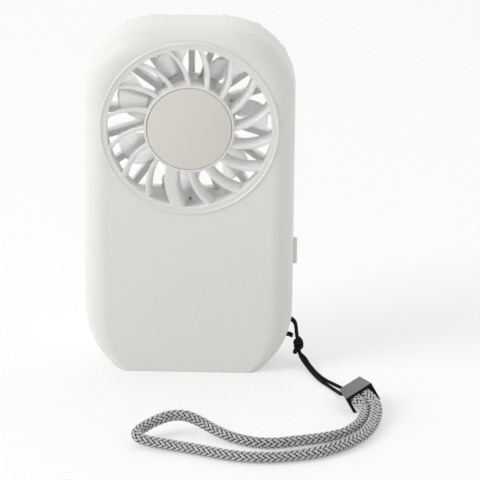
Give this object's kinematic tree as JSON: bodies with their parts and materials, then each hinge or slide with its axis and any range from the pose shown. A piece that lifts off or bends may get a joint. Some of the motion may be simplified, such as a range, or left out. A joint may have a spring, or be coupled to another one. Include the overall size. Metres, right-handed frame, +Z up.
{
  "type": "pocket fan",
  "caption": "Pocket fan with a round swept-vane grille, translucent impeller, side power button and a braided wrist strap on a knotted cord.",
  "frame": {"origin": "centre of the flat base, in the middle of the width and of the depth", "axes": "+X to the right as seen from the front, -Y out of the front grille, +Z up"},
  "size_m": [0.1001, 0.1042, 0.1206],
  "materials": {
    "shell_plastic": "fine satin moulding",
    "cap_plastic": "fine satin moulding, slightly warmer",
    "blade_plastic": "translucent white, glossy",
    "steel": "fine",
    "brass": "turned",
    "magnet": "bonded ferrite",
    "copper": "enamelled wire",
    "board": "solder mask",
    "black_plastic": "plain",
    "button_plastic": "satin",
    "foil": "laminated foil",
    "foam": "closed-cell foam",
    "red_lead": "insulation",
    "black_lead": "insulation",
    "cord": "thin woven cord",
    "clamp": "satin grey",
    "strap": "round braid"
  },
  "bodies": {
    "housing": {"front_shell": "shell_plastic", "rear_cover": "shell_plastic", "front_grille": "shell_plastic", "hub_cap": "cap_plastic", "bearing_tube": "brass", "bearing_bush": "brass", "stator_core": "steel", "stator_coils": "copper", "motor_board": "board", "motor_lead": "black_lead", "tact_switch": "black_plastic", "main_board": "board", "control_chip": "black_plastic", "power_inductor": "magnet", "usb_socket": "steel", "usb_tongue": "black_plastic", "battery_cell": "foil", "battery_pad": "foam", "battery_lead_red": "red_lead", "battery_lead_black": "black_lead", "case_screw_1": "steel", "case_screw_2": "steel", "case_screw_3": "steel", "case_screw_4": "steel", "board_screw_1": "steel", "board_screw_2": "steel", "lanyard_cord_front": "cord", "lanyard_cord_back": "cord", "cord_knot": "cord", "strap_clamp": "clamp", "wrist_strap": "strap"},
    "rotor": {"impeller": "blade_plastic", "rotor_yoke": "steel", "ring_magnet": "magnet", "motor_shaft": "steel"},
    "button": {"power_button": "button_plastic"},
    "plunger": {"switch_plunger": "black_plastic"}
  },
  "joints": [
    {"name": "fan_spin", "type": "hinge", "parent": "housing", "child": "rotor", "pos_m": [0, 0, 0.0866], "axis": [0, 1, 0], "continuous": true},
    {"name": "button_press", "type": "slide", "parent": "housing", "child": "button", "axis": [-1, 0, 0], "range_m": [0, 0.0005], "stiffness_N_per_m": 400},
    {"name": "plunger_press", "type": "slide", "parent": "housing", "child": "plunger", "axis": [-1, 0, 0], "range_m": [0, 0.0005]}
  ],
  "couplings": [
    {"joint": "plunger_press", "follows": "button_press", "ratio": 1}
  ]
}
